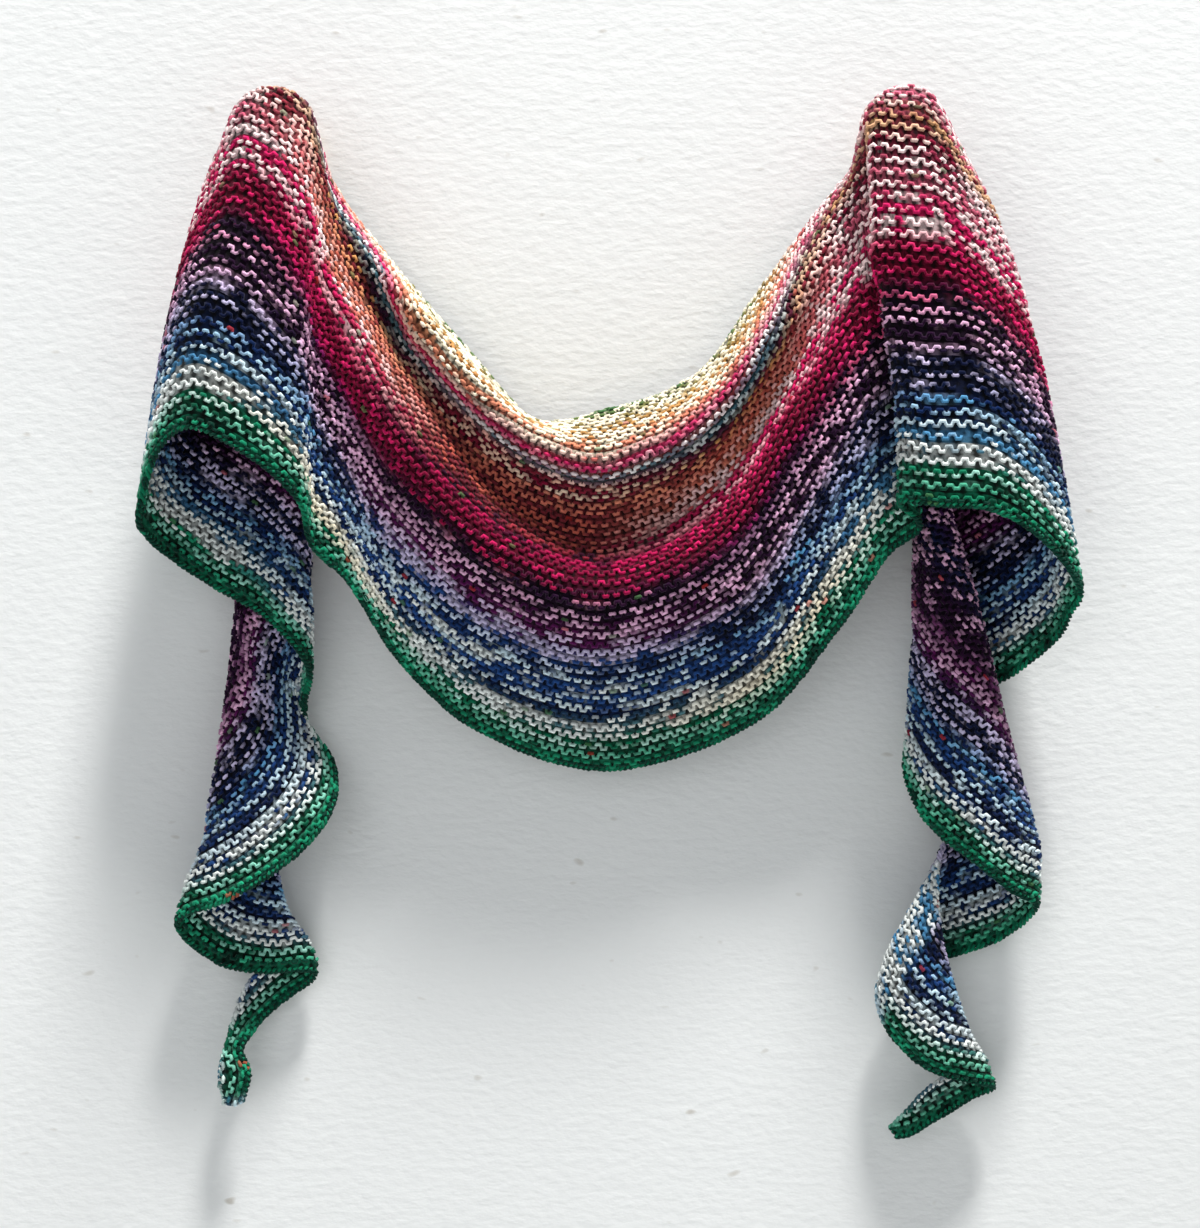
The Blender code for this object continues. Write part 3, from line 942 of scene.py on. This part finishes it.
@dataclass(frozen=True)
class WoodFinish:
    """Oiled beech, turned, with the grain along the peg."""

    name: str = "oiled_beech"
    light: tuple[float, float, float, float] = (0.47, 0.27, 0.13, 1.0)
    dark: tuple[float, float, float, float] = (0.27, 0.13, 0.055, 1.0)
    grain_scale: float = 260.0
    stretch: float = 0.12
    fleck_step: float = 5.0
    grain_contrast: float = 2.4
    fleck_contrast: float = 0.5
    roughness: float = 0.42
    roughness_spread: float = 0.15
    grain_depth: float = 0.0003
    grain_strength: float = 0.3

    def material(self) -> bpy.types.Material:
        """The finished material."""
        material, sheet, surface = new_surface(self.name)
        objects = sheet.wire("ShaderNodeTexCoord", {}, {}, "Object")
        sockets = {"Vector": objects, "Scale": (1.0, self.stretch, 1.0)}
        drawn_out = sheet.wire("ShaderNodeMapping", {}, sockets)
        grain = sheet.noise(drawn_out, self.grain_scale, 6.0, 0.6)
        flecks = sheet.noise(drawn_out, self.grain_scale * self.fleck_step, 2.0)
        mark = ((grain - 0.5) * self.grain_contrast + 0.5 + (flecks - 0.5) * self.fleck_contrast).within()
        sockets = {"Strength": self.grain_strength, "Distance": self.grain_depth, "Height": mark}
        bump = sheet.wire("ShaderNodeBump", {}, sockets)
        connect(sheet, surface, Base_Color=sheet.mix(mark, self.light, self.dark), Normal=bump)
        connect(sheet, surface, Roughness=self.roughness + mark * self.roughness_spread)
        return material


@dataclass(frozen=True)
class PlasterFinish:
    """A painted wall with a fine stipple, seen only from its front."""

    name: str
    colour: tuple[float, float, float, float] = (0.80, 0.815, 0.815, 1.0)
    mark_colour: tuple[float, float, float, float] = (0.56, 0.54, 0.5, 1.0)
    mark_scale: float = 130.0
    mark_rarity: float = 0.735
    mark_edge: float = 12.0
    flatness: float = 0.5
    roughness: float = 0.9
    stipple_scale: float = 260.0
    stipple_depth: float = 0.0009
    stipple_strength: float = 0.5
    dent_step: float = 9.0
    dent_share: float = 0.6

    def material(self) -> bpy.types.Material:
        """The finished material, clear where it is seen from behind."""
        material, sheet, surface = new_surface(self.name)
        objects = sheet.wire("ShaderNodeTexCoord", {}, {}, "Object")
        flat = sheet.wire("ShaderNodeMapping", {}, {"Vector": objects, "Scale": (self.flatness, 1.0, 1.0)})
        coarse = sheet.noise(flat, self.stipple_scale, 3.0, 0.55)
        dents = sheet.noise(flat, self.stipple_scale / self.dent_step, 2.0)
        height = coarse + dents * self.dent_share
        sockets = {"Strength": self.stipple_strength, "Distance": self.stipple_depth, "Height": height}
        connect(sheet, surface, Normal=sheet.wire("ShaderNodeBump", {}, sockets))
        marks = ((sheet.noise(flat, self.mark_scale, 1.0) - self.mark_rarity) * self.mark_edge).within()
        connect(sheet, surface, Base_Color=sheet.mix(marks, self.colour, self.mark_colour))
        surface.inputs["Roughness"].default_value = self.roughness
        behind = sheet.wire("ShaderNodeNewGeometry", {}, {}, "Backfacing")
        clear = sheet.wire("ShaderNodeBsdfTransparent", {}, {})
        shown = Wire(sheet, surface.outputs["BSDF"])
        whole = sheet.wire("ShaderNodeMixShader", {}, {0: behind, 1: shown, 2: clear})
        sheet.tree.links.new(whole.output, material.node_tree.nodes["Material Output"].inputs["Surface"])
        return material


@dataclass(frozen=True)
class Strand:
    """How a strand of yarn waves as it runs along a row, in mm."""

    stand_off: float
    height: float
    lift: float
    head: float
    turn: float
    radius: float
    unevenness: float
    seed: int


RIDGE_STRAND = Strand(0.35, 1.2, 1.1, -0.55, 0.0, 0.95, 0.3, 3)
HEM_STRAND = Strand(0.0, 0.9, 0.0, 0.0, 1.0, 0.95, 0.35, 5)
NECK_STRAND = Strand(0.0, 0.7, 0.0, 0.0, 0.8, 0.8, 0.3, 7)


class StrandTree:
    """The Geometry Nodes that turn rows of points into waving yarn."""

    SIDES = 4
    NUDGE = 0.01
    ROW_STRIDE = 977.0
    LENGTHS = ("stand_off", "height", "lift", "head", "turn", "radius")

    def __init__(self, name: str) -> None:
        """Builds the tree.

        Args:
            name: The tree's name.
        """
        self.group = bpy.data.node_groups.new(name, "GeometryNodeTree")
        self.sockets: dict[str, str] = {}
        self.sheet = NodeSheet(self.group)
        face = self.group.interface
        face.new_socket("Rows", in_out="INPUT", socket_type="NodeSocketGeometry")
        kinds = {title: "NodeSocketFloat" for title in (*self.LENGTHS, "unevenness")}
        kinds |= {"seed": "NodeSocketInt", "yarn": "NodeSocketMaterial"}
        for title, kind in kinds.items():
            self.sockets[title] = face.new_socket(title, in_out="INPUT", socket_type=kind).identifier
        face.new_socket("Yarn", in_out="OUTPUT", socket_type="NodeSocketGeometry")
        self.build()

    def named(self, name: str, kind: str) -> Wire:
        """A value that the points carry."""
        settings = {"data_type": kind}
        return self.sheet.wire("GeometryNodeInputNamedAttribute", settings, {"Name": name}, "Attribute")

    def build(self) -> None:
        """Adds the nodes, from the rows to the finished yarn."""
        sheet = self.sheet
        given = sheet.node("NodeGroupInput", {}, {})
        size = {title: Wire(sheet, given.outputs[title]) for title in self.sockets}
        angle = self.named("stitch", "FLOAT") * math.tau
        half_stitch = (self.named("stitch", "FLOAT") * 2.0 + self.NUDGE).floor()
        chance = sheet.node(
            "FunctionNodeRandomValue",
            {"data_type": "FLOAT"},
            {"Min": 1.0 - size["unevenness"], "Max": 1.0 + size["unevenness"], "Seed": size["seed"]},
        )
        identity = half_stitch + self.named("depth", "FLOAT") * self.ROW_STRIDE
        sheet.tree.links.new(identity.output, chance.inputs["ID"])
        uneven = Wire(sheet, next(socket for socket in chance.outputs if socket.enabled))
        rise = size["stand_off"] + angle.sine().size() * size["lift"] * uneven + angle.cosine() * size["turn"]
        ways = (
            (self.named("upward", "FLOAT_VECTOR"), angle.sine() * size["height"] * uneven),
            (self.named("outward", "FLOAT_VECTOR"), rise),
            (self.named("forward", "FLOAT_VECTOR"), (angle * 2.0).sine() * size["head"]),
        )
        offset = sheet.scaled(*ways[0])
        for vector, share in ways[1:]:
            offset = sheet.vector_sum(offset, sheet.scaled(vector, share))
        rows = Wire(sheet, given.outputs["Rows"])
        moved = sheet.wire("GeometryNodeSetPosition", {}, {"Geometry": rows, "Offset": offset})
        curve = sheet.wire("GeometryNodeMeshToCurve", {}, {"Mesh": moved})
        sockets = {"Resolution": self.SIDES, "Radius": size["radius"]}
        circle = sheet.wire("GeometryNodeCurvePrimitiveCircle", {}, sockets)
        sockets = {"Curve": curve, "Profile Curve": circle, "Fill Caps": True}
        tube = sheet.wire("GeometryNodeCurveToMesh", {}, sockets)
        soft = sheet.wire("GeometryNodeSetShadeSmooth", {}, {0: tube})
        real = sheet.wire("GeometryNodeRealizeInstances", {}, {"Geometry": soft})
        dressed = sheet.wire("GeometryNodeSetMaterial", {}, {"Geometry": real, "Material": size["yarn"]})
        sheet.node("NodeGroupOutput", {}, {"Yarn": dressed})

    def run(self, thing: bpy.types.Object, strand: Strand, yarn: bpy.types.Material) -> bpy.types.Mesh:
        """Runs the tree on an object's rows.

        Args:
            thing: The object that holds the rows.
            strand: The sizes of the yarn's wave.
            yarn: The material.

        Returns:
            The yarn as a plain mesh.
        """
        modifier = thing.modifiers.new("yarn", "NODES")
        modifier.node_group = self.group
        for title in self.LENGTHS:
            modifier[self.sockets[title]] = getattr(strand, title) * MM
        modifier[self.sockets["unevenness"]] = strand.unevenness
        modifier[self.sockets["seed"]] = strand.seed
        modifier[self.sockets["yarn"]] = yarn
        graph = bpy.context.evaluated_depsgraph_get()
        ready = thing.evaluated_get(graph)
        return bpy.data.meshes.new_from_object(ready, preserve_all_data_layers=True, depsgraph=graph)


CLOTH_NODES = (
    "left_tail_curl",
    "left_tail",
    "left_cone",
    "swag",
    "right_cone",
    "right_tail",
    "right_tail_curl",
)


class Area(NamedTuple):
    """A stretch of the shawl whose stitches are one piece, from one run to another, in mm."""

    name: str
    start: float
    end: float


AREAS = (
    Area("left_tail", -2000, -351),
    Area("left_cone", -351, -150),
    Area("swag", -150, 110),
    Area("right_cone", 110, 300),
    Area("right_tail", 300, 2000),
)


def add_mesh_object(name: str, mesh: bpy.types.Mesh) -> bpy.types.Object:
    """Adds a mesh to the scene as an object at the origin."""
    thing = bpy.data.objects.new(name, mesh)
    bpy.context.scene.collection.objects.link(thing)
    return thing


def set_values(mesh: bpy.types.Mesh, name: str, kind: str, values: np.ndarray) -> None:
    """Gives each point of a mesh a number or a vector."""
    slot = "vector" if kind == "FLOAT_VECTOR" else "value"
    layer = mesh.attributes.new(name, kind, "POINT")
    layer.data.foreach_set(slot, np.ascontiguousarray(values, dtype=np.float32).ravel())


@dataclass
class KnittedCloth:
    """The shawl: a thin shell for the cloth, its rows of stitches on both sides and its two edges."""

    form: ShawlForm
    wall_half: float = 0.7
    column_step: int = 4
    row_step: int = 3
    flat_width: float = 0.25
    flat_length: float = 1.75
    stitches_made: int = 0

    def build(self) -> list[bpy.types.Object]:
        """Makes every piece of the shawl.

        Returns:
            The pieces, the cloth's own shell first.
        """
        cloth = self.form.cloth()
        yarn = YarnFinish("dyed_wool").material()
        # The ground copy of the yarn is darkened as painted shade between the ridges. It has fewer pale
        # stitches, so the gaps read darker, and painted light and shade on the legs.
        ground = YarnFinish("dyed_wool_ground", shade=0.4, legs=True, paleness=-0.35).material()
        shell = self.shell(cloth, ground)
        layer = RowLayer(cloth)
        tree = StrandTree("rows_of_stitches")
        pieces = [shell]
        for side in Side:
            rows = layer.rows_on(side)
            for area, share in self.shared_out(rows, layer.points):
                name = f"{side.name.lower()}_stitches_{area.name}"
                pieces.append(self.yarn_piece(name, share, tree, RIDGE_STRAND, yarn))
        for name, column, strand in (("bound_off_edge", -1, HEM_STRAND), ("neck_edge", 0, NECK_STRAND)):
            both = Rows()
            for turn in (0.0, 0.5):
                both.add(layer.edge(column, Side.FACE, turn))
            pieces.append(self.yarn_piece(name, both, tree, strand, yarn))
        area = self.area_of(cloth)
        LOG.info("cloth area %.4f square metres, %d stitches", area, self.stitches_made)
        return pieces

    @staticmethod
    def area_of(cloth: Cloth) -> float:
        """The area of the middle surface, in square metres."""
        corner = cloth.places[:-1, :-1]
        along = cloth.places[1:, :-1] - corner
        down = cloth.places[:-1, 1:] - corner
        return round(float(np.linalg.norm(np.cross(along, down), axis=2).sum()) * MM * MM, 4)

    def shell(self, cloth: Cloth, finish: bpy.types.Material) -> bpy.types.Object:
        """The thin closed wall that the stitches stand on."""
        columns = slice(None, None, self.column_step)
        rows = slice(None, None, self.row_step)
        places = cloth.places[columns, rows]
        normals = cloth.normals[columns, rows]
        both = (places + normals * self.wall_half, (places - normals * self.wall_half)[:, ::-1])
        rings = np.concatenate(both, axis=1)
        count, size = rings.shape[:2]
        number = np.arange(count * size).reshape(count, size)
        following = np.roll(number, -1, axis=1)
        quads = np.stack((number[:-1], number[1:], following[1:], following[:-1]), axis=-1).reshape(-1, 4)
        wide = size // 2
        ends = []
        for row in range(wide - 1):
            opposite = size - 1 - row
            corners = [row, row + 1, opposite - 1, opposite]
            ends.append(number[0, corners])
            ends.append(number[-1, corners[::-1]])
        mesh = bpy.data.meshes.new("shawl_cloth")
        mesh.from_pydata((rings.reshape(-1, 3) * MM).tolist(), [], np.concatenate((quads, ends)).tolist())
        depth = cloth.depth[columns, rows]
        set_values(mesh, "depth", "FLOAT", np.concatenate((depth, depth[:, ::-1]), axis=1))
        set_values(mesh, "run", "FLOAT", np.repeat(cloth.run[columns], size))
        set_values(mesh, "stitch", "FLOAT", np.zeros(count * size))
        # The shell wears the darker ground copy of the yarn, whose darkness is painted shade between the
        # ridges.
        mesh.materials.append(finish)
        mesh.shade_smooth()
        thing = add_mesh_object("shawl_cloth", mesh)
        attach(thing, "root")
        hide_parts(*CLOTH_NODES)
        LOG.info("shawl_cloth: %d faces", len(mesh.polygons))
        return thing

    @staticmethod
    def shared_out(rows: Rows, points: int) -> list[tuple[Area, Rows]]:
        """Shares rows out among the areas, cut between two stitches."""
        found = [(area, Rows()) for area in AREAS]
        for number in range(len(rows.run)):
            run = rows.run[number]
            for area, share in found:
                inside = np.flatnonzero((run >= area.start) & (run < area.end))
                if len(inside) == 0:
                    continue
                first = inside[0] if inside[0] == 0 else math.ceil(inside[0] / points) * points
                last = math.ceil(inside[-1] / points) * points + 1
                if last - first <= points:
                    continue
                for kind in fields(rows):
                    getattr(share, kind.name).append(getattr(rows, kind.name)[number][first:last])
        return found

    def yarn_piece(
        self, name: str, rows: Rows, tree: StrandTree, strand: Strand, yarn: bpy.types.Material
    ) -> bpy.types.Object:
        """Makes one piece of yarn from its rows.

        Args:
            name: The piece's name.
            rows: The rows.
            tree: The Geometry Nodes that make yarn of them.
            strand: The sizes of the yarn's wave.
            yarn: The material.

        Returns:
            The piece.
        """
        mesh = bpy.data.meshes.new(name)
        lengths = [len(row) for row in rows.run]
        count = sum(lengths)
        mesh.vertices.add(count)
        mesh.vertices.foreach_set("co", (np.concatenate(rows.places) * MM).astype(np.float32).ravel())
        starts = np.arange(count)
        lasts = np.cumsum(lengths) - 1
        starts = np.delete(starts, lasts)
        mesh.edges.add(len(starts))
        mesh.edges.foreach_set("vertices", np.stack((starts, starts + 1), axis=1).ravel())
        for title in ROW_WAYS:
            set_values(mesh, title, "FLOAT_VECTOR", np.concatenate(getattr(rows, title)))
        for title in ROW_NUMBERS:
            set_values(mesh, title, "FLOAT", np.concatenate(getattr(rows, title)))
        source = add_mesh_object(name + "_rows", mesh)
        made = tree.run(source, strand, yarn)
        bpy.data.objects.remove(source, do_unlink=True)
        for title in ROW_WAYS:
            made.attributes.remove(made.attributes[title])
        made.name = name
        thing = add_mesh_object(name, made)
        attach(thing, "root")
        self.stitches_made += (count - len(lengths)) // RowLayer.points
        LOG.info("%s: %d faces", name, len(made.polygons))
        return thing


@dataclass
class Pegs:
    """The two turned pegs, which keep their own solids."""

    nodes: tuple[str, str] = ("left_peg", "right_peg")

    def dress(self) -> None:
        """Gives both pegs their wood."""
        wood = WoodFinish().material()
        for name in self.nodes:
            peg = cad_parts[name]
            peg.data.materials.clear()
            peg.data.materials.append(wood)
            LOG.info("%s: %s", name, wood.name)


class Lamp(NamedTuple):
    """A soft square light: its place, what it points at, its size in metres, its power and its colour."""

    name: str
    place: Place
    target: Place
    size: float
    power: float
    colour: Place


LAMPS = (
    Lamp("window", (0.5, -1.0, 2.9), (0.0, 0.0, -0.2), 0.55, 184.0, (1.0, 0.985, 0.96)),
    Lamp("room", (-0.9, -2.6, 0.3), (0.0, 0.0, -0.25), 2.2, 14.0, (0.97, 0.985, 1.0)),
)


@dataclass
class Studio:
    """The wall, the floor, the lights and the camera."""

    wall_side: float = 5.0
    floor_drop: float = 1.5
    wall_gap: float = 0.0006
    camera_place: Place = (0.005, -1.3, -0.225)
    camera_lens: float = 76.22
    sensor: float = 36.0
    sky: tuple[float, float, float, float] = (0.93, 0.965, 1.0, 1.0)
    sky_strength: float = 0.27

    def panel(self, name: str, corners: list[Place], finish: bpy.types.Material) -> None:
        """Adds one flat panel of the stage."""
        mesh = bpy.data.meshes.new(name)
        mesh.from_pydata(corners, [], [(0, 1, 2, 3)])
        mesh.materials.append(finish)
        add_mesh_object(name, mesh)

    def build(self) -> None:
        """Makes the whole studio."""
        half = self.wall_side / 2
        gap = self.wall_gap
        drop = -self.floor_drop
        wall = [(-half, gap, drop), (half, gap, drop), (half, gap, half), (-half, gap, half)]
        floor = [(-half, -half, drop), (half, -half, drop), (half, half, drop), (-half, half, drop)]
        self.panel("wall_face", wall, PlasterFinish("painted_plaster").material())
        self.panel("floor", floor, PlasterFinish("pale_floor", stipple_depth=0.0002).material())
        for lamp in LAMPS:
            self.add_lamp(lamp)
        self.add_sky()
        self.add_camera()
        LOG.info("studio: wall, floor, %d lamps, camera", len(LAMPS))

    @staticmethod
    def add_lamp(lamp: Lamp) -> None:
        """Adds one light."""
        data = bpy.data.lights.new(lamp.name, "AREA")
        data.size = lamp.size
        data.energy = lamp.power
        data.color = lamp.colour
        thing = bpy.data.objects.new(lamp.name, data)
        thing.location = lamp.place
        way = np.array(lamp.target) - np.array(lamp.place)
        thing.rotation_euler = Studio.turned_to(way)
        bpy.context.scene.collection.objects.link(thing)

    @staticmethod
    def turned_to(way: np.ndarray) -> tuple[float, float, float]:
        """The turns that point a light or a camera along a way."""
        flat = math.hypot(way[0], way[1])
        return (math.atan2(flat, -way[2]), 0.0, math.atan2(-way[0], way[1]))

    def add_sky(self) -> None:
        """Adds the soft light that comes from all round."""
        world = bpy.data.worlds.new("room_light")
        world.use_nodes = True
        background = world.node_tree.nodes["Background"]
        background.inputs["Color"].default_value = self.sky
        background.inputs["Strength"].default_value = self.sky_strength
        bpy.context.scene.world = world

    def add_camera(self) -> None:
        """Adds the camera, straight in front of the wall."""
        data = bpy.data.cameras.new("front_camera")
        data.lens = self.camera_lens
        data.sensor_width = self.sensor
        camera = bpy.data.objects.new("front_camera", data)
        camera.location = self.camera_place
        camera.rotation_euler = (math.pi / 2, 0.0, 0.0)
        bpy.context.scene.collection.objects.link(camera)
        bpy.context.scene.camera = camera


def main() -> None:
    """Builds the studio, the shawl and its pegs."""
    logging.basicConfig(level=logging.INFO, format="%(name)s: %(message)s")
    bpy.context.scene.view_settings.view_transform = "Standard"
    Studio().build()
    KnittedCloth(ShawlForm()).build()
    Pegs().dress()


if __name__ == "__main__":
    main()
